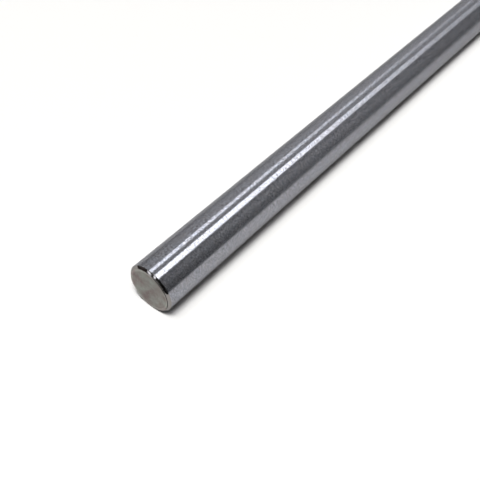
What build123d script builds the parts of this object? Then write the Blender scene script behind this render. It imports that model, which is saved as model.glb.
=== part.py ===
"""Linear shaft: a plain round guide bar for linear bearings and shaft supports.

The bar is one piece of stock. Its running surface is ground and hard chromed over the whole
length, both ends are cut square, and each rim has a chamfer that leads a bearing on without
tearing its seal. The bar lies along +X with +Z up. Its origin is the centre of the near end
face, on the axis.
"""
import os

from build123d import *

# Driving dimensions, in millimetres
SHAFT_DIAMETER = 12.0  # ground running surface, a standard bearing size
SHAFT_LENGTH = 300.0  # from end face to end face, a length that such stock is sold in
CHAMFER_LEG = 0.5  # 45 degree lead-in on each rim, measured along the face and along the bar

# The near end face lies on the YZ plane, and the bar runs away from it
with BuildPart() as linear_shaft:
    with BuildSketch(Plane.YZ) as bar_section:
        Circle(SHAFT_DIAMETER / 2)
    extrude(amount=SHAFT_LENGTH)

    # Turned lead-in at both ends
    rims = linear_shaft.edges().filter_by(GeomType.CIRCLE)
    chamfer(rims, length=CHAMFER_LEG)

linear_shaft.part.label = "linear_shaft"
os.makedirs("parts", exist_ok=True)
export_step(linear_shaft.part, "parts/linear_shaft.step")
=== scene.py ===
"""Looks for a linear shaft: a ground and hard chromed round bar, lying on a pale floor.

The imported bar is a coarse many-sided stand-in, so the bar is modelled again here at the same
size, as a true round with a turned chamfer, broken corners and faced ends. Its three surfaces
are dressed as what made them: the grinding wheel, the chamfer tool and the facing tool. All
lengths are in metres. The bar lies along +X with +Z up, its near end face is at X = 0, and the
camera stands in front of it, towards -Y.
"""

import logging
import math
from collections.abc import Callable
from dataclasses import dataclass, field
from enum import Enum, IntEnum

import bmesh
import bpy
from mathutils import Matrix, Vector

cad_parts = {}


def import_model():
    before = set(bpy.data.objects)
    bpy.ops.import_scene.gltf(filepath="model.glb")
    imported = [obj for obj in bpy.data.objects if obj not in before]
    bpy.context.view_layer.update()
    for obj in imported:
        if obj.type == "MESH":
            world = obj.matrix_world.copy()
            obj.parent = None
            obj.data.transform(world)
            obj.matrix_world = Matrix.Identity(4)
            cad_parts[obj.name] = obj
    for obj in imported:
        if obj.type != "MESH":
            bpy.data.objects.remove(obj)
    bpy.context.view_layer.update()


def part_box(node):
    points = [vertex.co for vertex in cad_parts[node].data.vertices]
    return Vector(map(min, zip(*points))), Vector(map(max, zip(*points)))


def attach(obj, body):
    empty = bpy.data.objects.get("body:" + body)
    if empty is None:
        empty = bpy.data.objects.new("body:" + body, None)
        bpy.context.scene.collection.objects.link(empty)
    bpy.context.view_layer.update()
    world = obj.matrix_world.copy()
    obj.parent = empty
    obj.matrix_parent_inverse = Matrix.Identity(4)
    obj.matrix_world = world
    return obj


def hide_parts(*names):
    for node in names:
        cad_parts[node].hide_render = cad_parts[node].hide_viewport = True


log = logging.getLogger("linear_shaft")

MM = 0.001
NODE = "linear_shaft"
QUARTER_TURN = 0.25  # tool marks run round the bar, and their highlight is drawn out across them
ACROSS = (0.0, 1.0, 1.0)  # times a place, it leaves the part across the bar
SLIVER = 0.01 * MM  # places nearer to each other than this count as the same
FACTOR, FLOAT_A, FLOAT_B, COLOUR_A, COLOUR_B = 0, 2, 3, 6, 7  # a Mix node's inputs by number
MIXED_FLOAT, MIXED_COLOUR = 0, 2  # and its outputs


class Task(Enum):
    """What a lamp is there for."""

    LIGHTS_FLOOR = "lights the floor"
    IS_MIRRORED = "is mirrored by polished metal"


class Element(Enum):
    """What is selected in edit mode."""

    EDGE = "EDGE"
    FACE = "FACE"


class Zone(IntEnum):
    """The surfaces of the bar, numbered as its material slots are."""

    GROUND = 0
    CHAMFER = 1
    FACED = 2


def linear(hex_colour: str) -> tuple[float, float, float, float]:
    """Turns an sRGB colour into the linear one that a shader takes.

    Args:
        hex_colour: The colour as "#RRGGBB".

    Returns:
        Linear red, green and blue, and an alpha of 1.
    """
    # The numbers are those of the sRGB curve
    parts = [int(hex_colour[i:i + 2], 16) / 255 for i in (1, 3, 5)]
    toned = [p / 12.92 if p <= 0.04045 else ((p + 0.055) / 1.055) ** 2.4 for p in parts]
    return (*toned, 1.0)


def add_node(tree: bpy.types.NodeTree, kind: str, settings: dict | None = None,
             links: dict | None = None) -> bpy.types.Node:
    """Adds one node with its settings and links.

    Args:
        tree: The node tree that gets it.
        kind: The node's type name.
        settings: Values by socket name or number, and by property name.
        links: Output sockets by the name or number of the input that each one feeds.

    Returns:
        The new node.
    """
    node = tree.nodes.new(kind)
    for key, value in (settings or {}).items():
        if isinstance(key, str) and key not in node.inputs:
            setattr(node, key, value)
        else:
            node.inputs[key].default_value = value
    for key, socket in (links or {}).items():
        tree.links.new(socket, node.inputs[key])
    return node


def select(obj: bpy.types.Object, kind: Element, test: Callable[[Vector, Vector], bool]) -> int:
    """Selects the edges or faces of a mesh in edit mode that pass a test, and nothing else.

    Args:
        obj: The object in edit mode.
        kind: What is selected.
        test: Gets an edge's two ends, or a face's middle and normal.

    Returns:
        How many passed.
    """
    bpy.ops.mesh.select_all(action="DESELECT")
    bpy.ops.mesh.select_mode(type=kind.value)
    mesh = bmesh.from_edit_mesh(obj.data)
    if kind is Element.EDGE:
        found = [edge for edge in mesh.edges if test(edge.verts[0].co, edge.verts[1].co)]
    else:
        found = [face for face in mesh.faces if test(face.calc_center_median(), face.normal)]
    for item in found:
        item.select_set(True)
    bmesh.update_edit_mesh(obj.data)
    return len(found)


@dataclass(frozen=True)
class Finish:
    """What every surface of the bar shares: tool-marked metal, seen by what it mirrors."""

    name: str
    base: str
    tint: str
    roughness: float
    anisotropy: float
    edge_tint: str = "#C4C4C4"  # keeps the rim of a dark metal from turning white

    def start(self) -> tuple[bpy.types.Material, bpy.types.Node, bpy.types.Node]:
        """Makes the material with its metal shader and its place on the bar.

        Returns:
            The material, its shader node and the node with Object coordinates.
        """
        material = bpy.data.materials.new(self.name)
        material.use_nodes = True
        tree = material.node_tree
        tree.nodes.clear()
        place = add_node(tree, "ShaderNodeTexCoord")
        tangent = add_node(tree, "ShaderNodeTangent", {"direction_type": "RADIAL", "axis": "X"})
        metal = add_node(tree, "ShaderNodeBsdfPrincipled", {
            "Base Color": linear(self.base),
            "Metallic": 1.0,
            "Roughness": self.roughness,
            "Specular Tint": linear(self.edge_tint),
            "Anisotropic": self.anisotropy,
            "Anisotropic Rotation": QUARTER_TURN,
        }, {"Tangent": tangent.outputs["Tangent"]})
        add_node(tree, "ShaderNodeOutputMaterial", links={"Surface": metal.outputs["BSDF"]})
        return material, metal, place


@dataclass(frozen=True)
class Pattern:
    """A noise pattern, by how long its marks are along the bar and round it."""

    along: float
    around: float
    detail: float  # how many finer layers lie on the first


@dataclass(frozen=True)
class GroundChrome(Finish):
    """Hard chrome plated on centreless ground steel, and polished.

    The wheel leaves fine marks round the bar, which the thin chrome follows. The eye gets lamps
    drawn out into long clean-edged streaks along the bar, broken by short ripples across them.
    """

    name: str = "centreless_ground_hard_chromed_steel"
    base: str = "#92929D"
    tint: str = "#8B929A"
    patch: str = "#929093"
    roughness: float = 0.2
    anisotropy: float = 1.0
    marks: Pattern = Pattern(0.11 * MM, 0.6 * MM, 1.0)  # real ones are about 0.01 mm apart: coarser
    mark_depth: float = 0.009 * MM  # deepened with their pitch, so that they slope like real ones
    grain: Pattern = Pattern(0.2 * MM, 0.45 * MM, 1.0)  # flecks of shade between the marks
    grain_spread: tuple[float, float] = (0.25, 0.75)  # noise that gives the two shades below
    grain_shade: tuple[float, float] = (0.56, 1.44)  # darkest and lightest fleck
    patches: Pattern = Pattern(1.3 * MM, 1.3 * MM, 2.0)  # faint spots of another shade
    clouds: Pattern = Pattern(12.0 * MM, 6.0 * MM, 3.0)  # slow change of the plating's shade

    def build(self) -> bpy.types.Material:
        """Adds the wheel's marks, their grain and the slow change of shade.

        Returns:
            The material.
        """
        material, metal, place = self.start()
        tree = material.node_tree
        noises = []
        for pattern in (self.marks, self.grain, self.patches, self.clouds):
            at = add_node(tree, "ShaderNodeMapping", {
                "Scale": (1 / pattern.along, 1 / pattern.around, 1 / pattern.around),
            }, {"Vector": place.outputs["Object"]})
            noises.append(add_node(tree, "ShaderNodeTexNoise", {
                "Scale": 1.0,
                "Detail": pattern.detail,
            }, {"Vector": at.outputs["Vector"]}).outputs["Fac"])
        marks, flecks, patches, clouds = noises
        relief = add_node(tree, "ShaderNodeBump", {
            "Strength": 1.0,
            "Distance": self.mark_depth,
        }, {"Height": marks})
        tree.links.new(relief.outputs["Normal"], metal.inputs["Normal"])
        plating = add_node(tree, "ShaderNodeMix", {
            "data_type": "RGBA",
            COLOUR_A: linear(self.base),
            COLOUR_B: linear(self.tint),
        }, {FACTOR: clouds})
        patched = add_node(tree, "ShaderNodeMix", {
            "data_type": "RGBA",
            COLOUR_B: linear(self.patch),
        }, {FACTOR: patches, COLOUR_A: plating.outputs[MIXED_COLOUR]})
        least, most = self.grain_spread
        dark, light = self.grain_shade
        grain = add_node(tree, "ShaderNodeMapRange", {
            "From Min": least,
            "From Max": most,
            "To Min": dark,
            "To Max": light,
        }, {"Value": flecks})
        shade = add_node(tree, "ShaderNodeMix", {
            "data_type": "RGBA",
            "blend_type": "MULTIPLY",
            FACTOR: 1.0,
        }, {COLOUR_A: patched.outputs[MIXED_COLOUR], COLOUR_B: grain.outputs["Result"]})
        tree.links.new(shade.outputs[MIXED_COLOUR], metal.inputs["Base Color"])
        return material


@dataclass(frozen=True)
class TurnedChamfer(Finish):
    """Steel cut by the chamfer tool after plating, left bright and bare.

    The tool burnishes it, so the eye gets a thin ring of hard contrast, with a faint warm cast.
    """

    name: str = "turned_bright_steel_chamfer"
    base: str = "#928F8D"
    tint: str = "#868280"
    roughness: float = 0.12
    anisotropy: float = 0.8
    marks: Pattern = Pattern(0.12 * MM, MM / 0.3, 2.0)  # the real feed is about 0.05 mm: coarser
    mark_depth: float = 0.001 * MM

    def build(self) -> bpy.types.Material:
        """Adds the tool's marks round the ring.

        Returns:
            The material.
        """
        material, metal, place = self.start()
        tree = material.node_tree
        at = add_node(tree, "ShaderNodeMapping", {
            "Scale": (1 / self.marks.along, 1 / self.marks.around, 1 / self.marks.around),
        }, {"Vector": place.outputs["Object"]})
        marks = add_node(tree, "ShaderNodeTexNoise", {
            "Scale": 1.0,
            "Detail": self.marks.detail,
        }, {"Vector": at.outputs["Vector"]})
        relief = add_node(tree, "ShaderNodeBump", {
            "Strength": 1.0,
            "Distance": self.mark_depth,
        }, {"Height": marks.outputs["Fac"]})
        tree.links.new(relief.outputs["Normal"], metal.inputs["Normal"])
        shade = add_node(tree, "ShaderNodeMix", {
            "data_type": "RGBA",
            COLOUR_A: linear(self.base),
            COLOUR_B: linear(self.tint),
        }, {FACTOR: marks.outputs["Fac"]})
        tree.links.new(shade.outputs[MIXED_COLOUR], metal.inputs["Base Color"])
        return material


@dataclass(frozen=True)
class PaintedRimShade:
    """A stretch of the end face's edge that is painted darker on one side only: painted shade."""

    side: tuple[float, float, float]  # the way from the axis to its middle
    edge: tuple[float, float]  # how far from the axis it begins and is full
    ends: tuple[float, float]  # how far over to its side it begins and is full
    depth: float  # share of the steel's shade that it takes away


@dataclass(frozen=True)
class FacedSteel(Finish):
    """The bar's bare core, faced off square in the lathe.

    The tool tears the soft core a little, so the eye gets a matte, greenish grey disc with faint
    rings and browner patches. A narrow ring near its edge is painted lighter, a painted highlight
    where an edge would catch light, and the last of the edge is painted darker on the front side,
    as painted shade.
    """

    name: str = "faced_bare_carbon_steel"
    base: str = "#959892"
    tint: str = "#807473"
    roughness: float = 0.5
    anisotropy: float = 0.6
    patch_size: float = 2.6 * MM
    patch_detail: float = 5.0
    patch_roughness: float = 0.65
    patch_spread: tuple[float, float] = (0.35, 0.65)  # noise that gives plain and browner steel
    ring_pitch: float = 0.45 * MM  # the tool's feed is about 0.1 mm a turn: drawn coarser
    ring_detail: float = 2.0
    ring_depth: float = 0.003 * MM
    ring_spread: tuple[float, float] = (0.3, 0.7)  # noise that gives the two shades below
    ring_shade: tuple[float, float] = (0.91, 1.09)  # darkest and lightest ring
    painted_highlight_ring: tuple[float, float] = (4.85 * MM, 5.0 * MM)  # where the ring of painted highlight begins and is full
    # Painted highlight: how much lighter the ring near the edge is painted
    painted_highlight_gain: float = 1.35
    painted_rim_shades: tuple[PaintedRimShade, ...] = (
        # A thin painted dark line along the front: painted shade on that side only
        PaintedRimShade((0.0, -0.985, 0.174), (5.14 * MM, 5.24 * MM), (3.6 * MM, 4.9 * MM), 0.85),
        # A black stretch higher up: a painted dark reflection that widens the black band the
        # chamfer mirrors there
        PaintedRimShade((0.0, -0.682, 0.731), (4.98 * MM, 5.10 * MM), (4.6 * MM, 5.05 * MM), 1.0),
    )

    def build(self) -> bpy.types.Material:
        """Adds the facing rings, the patches, the painted highlight ring and the painted shade on
        the edge.

        Returns:
            The material.
        """
        material, metal, place = self.start()
        tree = material.node_tree
        across = add_node(tree, "ShaderNodeVectorMath", {
            "operation": "MULTIPLY",
            1: ACROSS,
        }, {0: place.outputs["Object"]})
        reach = add_node(tree, "ShaderNodeVectorMath", {
            "operation": "LENGTH",
        }, {0: across.outputs["Vector"]})
        turns = add_node(tree, "ShaderNodeMath", {
            "operation": "DIVIDE",
            1: self.ring_pitch,
        }, {0: reach.outputs["Value"]})
        rings = add_node(tree, "ShaderNodeTexNoise", {
            "noise_dimensions": "1D",
            "Scale": 1.0,
            "Detail": self.ring_detail,
        }, {"W": turns.outputs["Value"]})
        relief = add_node(tree, "ShaderNodeBump", {
            "Strength": 1.0,
            "Distance": self.ring_depth,
        }, {"Height": rings.outputs["Fac"]})
        tree.links.new(relief.outputs["Normal"], metal.inputs["Normal"])
        patches = add_node(tree, "ShaderNodeTexNoise", {
            "Scale": 1 / self.patch_size,
            "Detail": self.patch_detail,
            "Roughness": self.patch_roughness,
        }, {"Vector": place.outputs["Object"]})
        least, most = self.patch_spread
        browner = add_node(tree, "ShaderNodeMapRange", {
            "From Min": least,
            "From Max": most,
        }, {"Value": patches.outputs["Fac"]})
        steel = add_node(tree, "ShaderNodeMix", {
            "data_type": "RGBA",
            COLOUR_A: linear(self.base),
            COLOUR_B: linear(self.tint),
        }, {FACTOR: browner.outputs["Result"]})
        least, most = self.ring_spread
        dark, light = self.ring_shade
        cut = add_node(tree, "ShaderNodeMapRange", {
            "From Min": least,
            "From Max": most,
            "To Min": dark,
            "To Max": light,
        }, {"Value": rings.outputs["Fac"]})
        # Painted highlight: a ring near the edge is painted lighter, where an edge would catch
        # light
        begins, full = self.painted_highlight_ring
        painted_glint = add_node(tree, "ShaderNodeMapRange", {
            "From Min": begins,
            "From Max": full,
            "To Min": 1.0,
            "To Max": self.painted_highlight_gain,
        }, {"Value": reach.outputs["Value"]})
        level = add_node(tree, "ShaderNodeMath", {
            "operation": "MULTIPLY",
        }, {0: cut.outputs["Result"], 1: painted_glint.outputs["Result"]})
        # Painted shade: each one darkens the edge's last stretch on one side only
        for rim_shade in self.painted_rim_shades:
            begins, full = rim_shade.edge
            corner = add_node(tree, "ShaderNodeMapRange", {
                "From Min": begins,
                "From Max": full,
                "To Max": rim_shade.depth,
            }, {"Value": reach.outputs["Value"]})
            over = add_node(tree, "ShaderNodeVectorMath", {
                "operation": "DOT_PRODUCT",
                1: rim_shade.side,
            }, {0: place.outputs["Object"]})
            begins, full = rim_shade.ends
            side_share = add_node(tree, "ShaderNodeMapRange", {
                "From Min": begins,
                "From Max": full,
            }, {"Value": over.outputs["Value"]})
            painted_dark = add_node(tree, "ShaderNodeMath", {
                "operation": "MULTIPLY",
            }, {0: corner.outputs["Result"], 1: side_share.outputs["Result"]})
            unpainted = add_node(tree, "ShaderNodeMath", {
                "operation": "SUBTRACT",
                0: 1.0,
            }, {1: painted_dark.outputs["Value"]})
            level = add_node(tree, "ShaderNodeMath", {
                "operation": "MULTIPLY",
            }, {0: level.outputs["Value"], 1: unpainted.outputs["Value"]})
        shade = add_node(tree, "ShaderNodeMix", {
            "data_type": "RGBA",
            "blend_type": "MULTIPLY",
            FACTOR: 1.0,
        }, {COLOUR_A: steel.outputs[MIXED_COLOUR], COLOUR_B: level.outputs["Value"]})
        tree.links.new(shade.outputs[MIXED_COLOUR], metal.inputs["Base Color"])
        return material


@dataclass
class Bar:
    """The whole bar, one piece of stock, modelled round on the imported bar's place and size."""

    length: float
    radius: float
    chamfer_leg: float = 0.5 * MM
    outer_break: float = 0.03 * MM  # what the polishing wheel takes off the chamfer's outer corner
    inner_break: float = 0.03 * MM  # and off its corner with the end face
    break_segments: int = 3
    # Widths of the end face's rings of faces, from the rim inwards
    face_rings: tuple[float, ...] = (0.12 * MM, 0.5 * MM, 1.0 * MM, 1.2 * MM, 1.2 * MM)
    sides: int = 192  # round the bar
    bands: int = 48  # along it
    first_band: float = 0.12 * MM  # a narrow one beside each chamfer keeps its shading off the wall
    merge_gap: float = 0.001 * MM
    crease: float = 40.0  # degrees: sharper corners stay sharp
    facing: float = 0.999  # how much of a normal's length points along X on a square end
    ground: GroundChrome = field(default_factory=GroundChrome)
    turned: TurnedChamfer = field(default_factory=TurnedChamfer)
    faced: FacedSteel = field(default_factory=FacedSteel)

    def start_round(self) -> bpy.types.Object:
        """Adds the blank as a cylinder at its size and place, lying along +X.

        Returns:
            The blank.
        """
        bpy.ops.object.select_all(action="DESELECT")
        bpy.ops.mesh.primitive_cylinder_add(
            vertices=self.sides, radius=self.radius, depth=self.length, end_fill_type="NGON",
            location=(self.length / 2, 0, 0), rotation=(0, math.pi / 2, 0))
        blank = bpy.context.object
        bpy.ops.object.transform_apply(location=True, rotation=True, scale=True)
        return blank

    def select_rings(self, bar: bpy.types.Object, radius: float) -> int:
        """Selects the edges that lie in rings of one radius round the axis.

        Args:
            bar: The bar, in edit mode.
            radius: The rings' radius.

        Returns:
            How many edges they have.
        """
        return select(bar, Element.EDGE, lambda a, b: abs(a.x - b.x) < SLIVER
                      and abs(math.hypot(a.y, a.z) - radius) < SLIVER)

    def select_middle(self, bar: bpy.types.Object, side: int) -> int:
        """Selects the face in the middle of one end.

        Args:
            bar: The bar, in edit mode.
            side: -1 for the near end and 1 for the far one.

        Returns:
            How many faces were found.
        """
        return select(bar, Element.FACE, lambda middle, normal: normal.x * side > self.facing
                      and math.hypot(middle.y, middle.z) < SLIVER)

    def cut_chamfers(self, bar: bpy.types.Object) -> None:
        """Cuts the 45 degree lead-in on both rims, then breaks the corners that it leaves.

        Args:
            bar: The blank, in edit mode.
        """
        rims = self.select_rings(bar, self.radius)
        bpy.ops.mesh.bevel(offset=self.chamfer_leg, offset_type="OFFSET", segments=1)
        outer = self.select_rings(bar, self.radius)
        bpy.ops.mesh.bevel(offset=self.outer_break, offset_type="OFFSET",
                           segments=self.break_segments)
        inner = self.select_rings(bar, self.radius - self.chamfer_leg)
        bpy.ops.mesh.bevel(offset=self.inner_break, offset_type="OFFSET",
                           segments=self.break_segments)
        log.info("chamfers: %d rim edges, %d outer and %d inner corner edges", rims, outer, inner)

    def face_ends(self, bar: bpy.types.Object) -> None:
        """Insets each end face into rings that close on a pole.

        Args:
            bar: The bar, in edit mode.
        """
        for side in (-1, 1):
            for width in self.face_rings:
                self.select_middle(bar, side)
                bpy.ops.mesh.inset(thickness=width, depth=0.0)
            self.select_middle(bar, side)
            bpy.ops.mesh.poke()

    def band_round(self, bar: bpy.types.Object) -> None:
        """Divides the running surface into bands, with a narrow one beside each chamfer.

        Args:
            bar: The bar, in edit mode.
        """
        margin = self.chamfer_leg + self.first_band
        for x in (margin, self.length - margin):
            bpy.ops.mesh.select_all(action="SELECT")
            bpy.ops.mesh.bisect(plane_co=(x, 0, 0), plane_no=(1, 0, 0))
        select(bar, Element.EDGE, lambda a, b: abs(a.x - b.x) > self.length / 2)
        bpy.ops.mesh.subdivide(number_cuts=self.bands - 1)

    def dress(self, bar: bpy.types.Object) -> None:
        """Gives each surface its finish by the way that it faces.

        Args:
            bar: The bar, in edit mode.
        """
        flat, turned = 0.99, 0.05  # an end's normal points further along X, the wall's less
        for finish in (self.ground, self.turned, self.faced):
            bar.data.materials.append(finish.build())
        tests = {
            Zone.GROUND: lambda middle, normal: abs(normal.x) < turned,
            Zone.CHAMFER: lambda middle, normal: turned <= abs(normal.x) <= flat,
            Zone.FACED: lambda middle, normal: abs(normal.x) > flat,
        }
        for zone, test in tests.items():
            count = select(bar, Element.FACE, test)
            bar.active_material_index = zone
            bpy.ops.object.material_slot_assign()
            log.info("surface %s: %d faces", zone.name.lower(), count)

    def build(self) -> bpy.types.Object:
        """Models and dresses the bar.

        Returns:
            The finished bar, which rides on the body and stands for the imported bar.
        """
        bar = self.start_round()
        bar.name = bar.data.name = "ground_round_bar"
        bpy.ops.object.mode_set(mode="EDIT")
        self.cut_chamfers(bar)
        self.face_ends(bar)
        self.band_round(bar)
        self.dress(bar)
        bpy.ops.mesh.select_all(action="SELECT")
        bpy.ops.mesh.remove_doubles(threshold=self.merge_gap)
        bpy.ops.mesh.normals_make_consistent(inside=False)
        bpy.ops.object.mode_set(mode="OBJECT")
        bpy.ops.object.shade_smooth_by_angle(angle=math.radians(self.crease))
        weigh = bar.modifiers.new("even_shading", "WEIGHTED_NORMAL")
        weigh.keep_sharp = True
        bpy.ops.object.modifier_apply(modifier=weigh.name)
        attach(bar, "root")
        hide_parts(NODE)
        return bar


@dataclass(frozen=True)
class Lamp:
    """A softbox over the bar: a strip that polished metal mirrors, or a light for the floor."""

    name: str
    task: Task
    height: float  # over the bar's axis
    lean: tuple[float, float]  # angles from straight up of its long edges over the near end face
    run: tuple[float, float]  # where it starts and ends along the bar, in lamp heights
    yaw: float  # how far its far end swings away from the camera, in degrees
    radiance: float
    colour: str

    def build(self) -> bpy.types.Object:
        """Hangs the lamp level over the bar, facing down.

        Returns:
            The lamp.
        """
        high, low = (-self.height * math.tan(math.radians(a)) for a in self.lean)
        start, end = (self.height * r for r in self.run)
        swing = math.radians(self.yaw)
        middle = (start + end) / 2
        bpy.ops.object.light_add(type="AREA", location=(
            middle * math.cos(swing), (low + high) / 2 + middle * math.sin(swing), self.height),
            rotation=(0, 0, swing))
        lamp = bpy.context.object
        lamp.name = self.name
        lamp.data.shape = "RECTANGLE"
        lamp.data.size = end - start
        lamp.data.size_y = abs(high - low)
        lamp.data.energy = self.radiance * math.pi * lamp.data.size * lamp.data.size_y
        lamp.data.color = linear(self.colour)[:3]
        lamp.visible_diffuse = self.task is Task.LIGHTS_FLOOR
        lamp.visible_glossy = self.task is Task.IS_MIRRORED
        return lamp


@dataclass(frozen=True)
class Glow:
    """A soft light side of the room, as polished metal mirrors it."""

    towards: tuple[float, float, float]  # the way from the bar to its middle
    strength: float  # how bright its middle is
    tightness: float  # the higher, the smaller the glow


@dataclass(frozen=True)
class Room:
    """The plain room, white to the camera.

    Polished metal mirrors it darker: light in soft glows, most of them behind the bar and past
    its far end, and nearly black elsewhere, which is what gives the chamfer its hard contrast.
    """

    name: str = "soft_room"
    least: float = 0.01  # the darkest that metal mirrors
    ambient: float = 0.03  # what the floor gets
    glows: tuple[Glow, ...] = (
        Glow((0.58, 0.57, 0.58), 0.64, 2.0),  # the whole far side behind the bar
        Glow((0.85, 0.30, 0.43), 0.22, 14.0),  # past the far end
        Glow((0.76, 0.62, 0.20), 0.09, 14.0),  # low behind the far half
        Glow((0.84, 0.52, 0.05), 0.2, 14.0),  # on the horizon behind the far end
        Glow((-1.0, 0.0, 0.05), 1.7, 64.0),  # on the horizon past the near end
        Glow((-0.60, 0.0, 0.80), 0.7, 32.0),  # high over the near end
        Glow((0.71, -0.70, 0.02), 0.33, 12.0),  # on the horizon in front
        Glow((0.59, -0.60, 0.54), 0.52, 20.0),  # high in front
    )
    colour: str = "#FFFFFF"

    def build(self) -> bpy.types.World:
        """Makes the world, whose light depends on the way that a ray leaves and on its kind.

        Returns:
            The world.
        """
        world = bpy.data.worlds.new(self.name)
        world.use_nodes = True
        tree = world.node_tree
        tree.nodes.clear()
        way = add_node(tree, "ShaderNodeTexCoord")
        total = add_node(tree, "ShaderNodeValue")
        total.outputs[0].default_value = self.least
        level = total.outputs[0]
        for glow in self.glows:
            facing = add_node(tree, "ShaderNodeVectorMath", {
                "operation": "DOT_PRODUCT",
                1: tuple(Vector(glow.towards).normalized()),
            }, {0: way.outputs["Generated"]})
            front = add_node(tree, "ShaderNodeMath", {
                "operation": "MAXIMUM",
                1: 0.0,
            }, {0: facing.outputs["Value"]})
            lobe = add_node(tree, "ShaderNodeMath", {
                "operation": "POWER",
                1: glow.tightness,
            }, {0: front.outputs["Value"]})
            level = add_node(tree, "ShaderNodeMath", {
                "operation": "MULTIPLY_ADD",
                1: glow.strength,
            }, {0: lobe.outputs["Value"], 2: level}).outputs["Value"]
        ray = add_node(tree, "ShaderNodeLightPath")
        given = add_node(tree, "ShaderNodeMix", {
            "data_type": "FLOAT",
            FLOAT_A: self.ambient,
        }, {FACTOR: ray.outputs["Is Glossy Ray"], FLOAT_B: level})
        shown = add_node(tree, "ShaderNodeMath", {
            "operation": "MAXIMUM",
        }, {0: given.outputs[MIXED_FLOAT], 1: ray.outputs["Is Camera Ray"]})
        background = add_node(tree, "ShaderNodeBackground", {
            "Color": linear(self.colour),
        }, {"Strength": shown.outputs["Value"]})
        add_node(tree, "ShaderNodeOutputWorld", links={"Surface": background.outputs["Background"]})
        bpy.context.scene.world = world
        return world


@dataclass(frozen=True)
class Floor:
    """The pale floor that the bar lies on.

    It is white card without any shine, so the eye gets a soft grey shadow on it and nothing else.
    The gap under the bar and the floor beside it are darkened further by painted shade, where
    ambient occlusion finds little open sky.
    """

    top: float
    span: float = 3.0
    colour: str = "#FBFAF8"
    crevice_reach: float = 15 * MM
    crevice_samples: int = 8
    crevice_sky: tuple[float, float] = (0.2, 0.42)  # open share of the sky in the gap and beside it
    painted_crevice_shade: float = 0.38  # the floor's painted shade in the gap under the bar

    def build(self) -> bpy.types.Object:
        """Lays the floor.

        Returns:
            The floor.
        """
        bpy.ops.object.select_all(action="DESELECT")
        bpy.ops.mesh.primitive_plane_add(size=self.span, location=(0, 0, self.top))
        floor = bpy.context.object
        floor.name = "pale_floor"
        bpy.ops.object.transform_apply(location=True, rotation=True, scale=True)
        material = bpy.data.materials.new("matte_white_card")
        material.use_nodes = True
        tree = material.node_tree
        tree.nodes.clear()
        # Painted shade: the floor's colour is darkened where little sky is open, under and beside
        # the bar
        sky = add_node(tree, "ShaderNodeAmbientOcclusion", {
            "samples": self.crevice_samples,
            "Distance": self.crevice_reach,
        })
        least, most = self.crevice_sky
        depth = add_node(tree, "ShaderNodeMapRange", {
            "From Min": least,
            "From Max": most,
            "To Min": self.painted_crevice_shade,
            "To Max": 1.0,
        }, {"Value": sky.outputs["AO"]})
        shade = add_node(tree, "ShaderNodeMix", {
            "data_type": "RGBA",
            "blend_type": "MULTIPLY",
            FACTOR: 1.0,
            COLOUR_A: linear(self.colour),
        }, {COLOUR_B: depth.outputs["Result"]})
        card = add_node(tree, "ShaderNodeBsdfDiffuse", links={"Color": shade.outputs[MIXED_COLOUR]})
        add_node(tree, "ShaderNodeOutputMaterial", links={"Surface": card.outputs["BSDF"]})
        floor.data.materials.append(material)
        return floor


@dataclass(frozen=True)
class Flag:
    """A dark card on the floor outside the picture, seen only where the bar mirrors it: a painted
    dark reflection.

    It has no shine, so the eye gets an even dark zone in the metal, with a clean edge.
    """

    name: str
    low: tuple[float, float]  # X and Y of one corner
    high: tuple[float, float]  # and of the opposite one
    rise: float  # over the floor
    colour: str

    def build(self, floor_top: float) -> bpy.types.Object:
        """Lays the card flat, hidden from the camera, from matte surfaces and from shadows.

        Args:
            floor_top: The floor's height.

        Returns:
            The card.
        """
        bpy.ops.object.select_all(action="DESELECT")
        bpy.ops.mesh.primitive_plane_add(size=1.0, location=(
            (self.low[0] + self.high[0]) / 2, (self.low[1] + self.high[1]) / 2,
            floor_top + self.rise))
        card = bpy.context.object
        card.name = self.name
        card.scale = (self.high[0] - self.low[0], self.high[1] - self.low[1], 1.0)
        bpy.ops.object.transform_apply(location=True, rotation=True, scale=True)
        card.visible_camera = card.visible_diffuse = card.visible_shadow = False
        material = bpy.data.materials.new("matte_dark_card")
        material.use_nodes = True
        tree = material.node_tree
        tree.nodes.clear()
        matte = add_node(tree, "ShaderNodeBsdfDiffuse", {"Color": linear(self.colour)})
        add_node(tree, "ShaderNodeOutputMaterial", links={"Surface": matte.outputs["BSDF"]})
        card.data.materials.append(material)
        return card


@dataclass(frozen=True)
class Camera:
    """The camera at the photograph's place, held level."""

    place: tuple[float, float, float] = (-57.15 * MM, -71.72 * MM, 110.2 * MM)
    aim: tuple[float, float, float] = (0.53138, 0.43559, -0.72657)  # the way that it looks
    focal: float = 669.22  # in the picture's pixels
    picture: float = 480.0
    sensor: float = 36.0  # width in millimetres, as Blender takes it
    clip: tuple[float, float] = (1 * MM, 100.0)

    def build(self) -> bpy.types.Object:
        """Sets the camera up.

        Returns:
            The camera, which is the scene's own.
        """
        turn = Vector(self.aim).to_track_quat("-Z", "Y").to_euler()
        bpy.ops.object.camera_add(location=self.place, rotation=turn)
        camera = bpy.context.object
        camera.name = "photo_camera"
        camera.data.sensor_width = self.sensor
        camera.data.lens = self.sensor * self.focal / self.picture
        camera.data.clip_start, camera.data.clip_end = self.clip
        bpy.context.scene.camera = camera
        return camera


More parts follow.
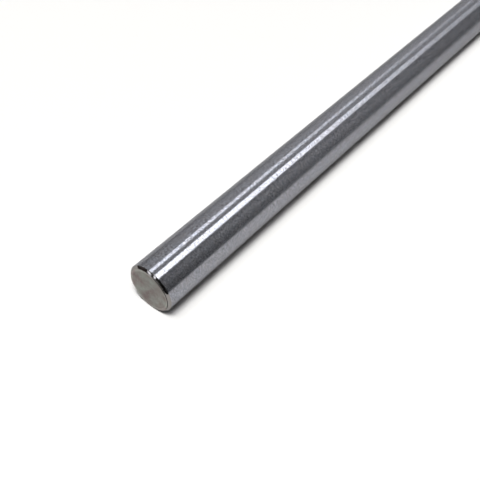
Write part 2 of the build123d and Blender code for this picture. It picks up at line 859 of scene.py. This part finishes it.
@dataclass
class Studio:
    """Floor, dark cards, lamps, room light and camera."""

    floor: Floor
    flags: tuple[Flag, ...] = (
        # Painted dark reflections: cards that only the bar's mirror sees, standing in for shade and
        # dark surroundings
        Flag("front_flag", (-0.03, -1.5), (1.5, -0.079), 0.2 * MM, "#7A7A7C"),
        Flag("left_flag", (-1.5, -1.5), (-0.020, -0.021), 0.4 * MM, "#0A0A0A"),
        Flag("back_flag", (-1.5, 0.12), (-0.02, 1.5), 0.4 * MM, "#40302C"),
    )
    room: Room = field(default_factory=Room)
    camera: Camera = field(default_factory=Camera)
    lamps: tuple[Lamp, ...] = (
        Lamp("key_lamp", Task.LIGHTS_FLOOR, height=3.0, lean=(0.0, 18.0),
             run=(-0.276, -0.169), yaw=0.0, radiance=58.0, colour="#FFFFFF"),
        Lamp("fill_lamp", Task.LIGHTS_FLOOR, height=3.0, lean=(-16.6, 28.4),
             run=(-0.45, 0.05), yaw=0.0, radiance=4.9, colour="#FFFFFF"),
        Lamp("wide_near", Task.IS_MIRRORED, height=1.0, lean=(7.5, 28.0),
             run=(0.0, 0.84), yaw=11.5, radiance=4.2, colour="#FDFEFF"),
        Lamp("wide_far", Task.IS_MIRRORED, height=1.0, lean=(0.3, 19.8),
             run=(0.82, 1.08), yaw=0.6, radiance=3.5, colour="#FAFCFF"),
        Lamp("narrow_near", Task.IS_MIRRORED, height=1.0, lean=(-21.0, -7.2),
             run=(0.0, 0.88), yaw=17.7, radiance=2.7, colour="#F9FBFF"),
        Lamp("narrow_far", Task.IS_MIRRORED, height=1.0, lean=(-20.5, -7.2),
             run=(0.88, 1.42), yaw=17.7, radiance=1.17, colour="#F9FBFF"),
        Lamp("left_back", Task.IS_MIRRORED, height=0.3, lean=(-81.3, -56.3),
             run=(-4.3, -1.7), yaw=0.0, radiance=0.06, colour="#FFE2E0"),
        Lamp("left_top", Task.IS_MIRRORED, height=1.0, lean=(-9.0, 9.0),
             run=(-1.25, -0.2), yaw=0.0, radiance=2.2, colour="#F9FBFF"),
        Lamp("left_low", Task.IS_MIRRORED, height=1.0, lean=(-12.0, 5.0),
             run=(-2.4, -1.5), yaw=0.0, radiance=3.4, colour="#F2F6FF"),
        Lamp("left_high", Task.IS_MIRRORED, height=1.0, lean=(-49.0, -32.0),
             run=(-2.3, -1.4), yaw=0.0, radiance=3.4, colour="#F2F6FF"),
    )

    def build(self) -> None:
        """Sets the studio up and reports each part of it."""
        floor = self.floor.build()
        cards = [flag.build(self.floor.top) for flag in self.flags]
        others = [part.build() for part in (self.room, *self.lamps, self.camera)]
        for part in (floor, *cards, *others):
            log.info("studio: %s", part.name)
        bpy.context.scene.view_settings.view_transform = "Standard"


def main() -> None:
    """Builds the bar and its studio."""
    logging.basicConfig(level=logging.INFO, format="%(name)s: %(message)s")
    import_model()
    low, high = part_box(NODE)
    bar = Bar(length=high[0] - low[0], radius=(high[1] - low[1]) / 2)
    piece = bar.build()
    log.info("%s: %d faces", piece.name, len(piece.data.polygons))
    Studio(floor=Floor(top=-bar.radius)).build()


if __name__ == "__main__":
    main()
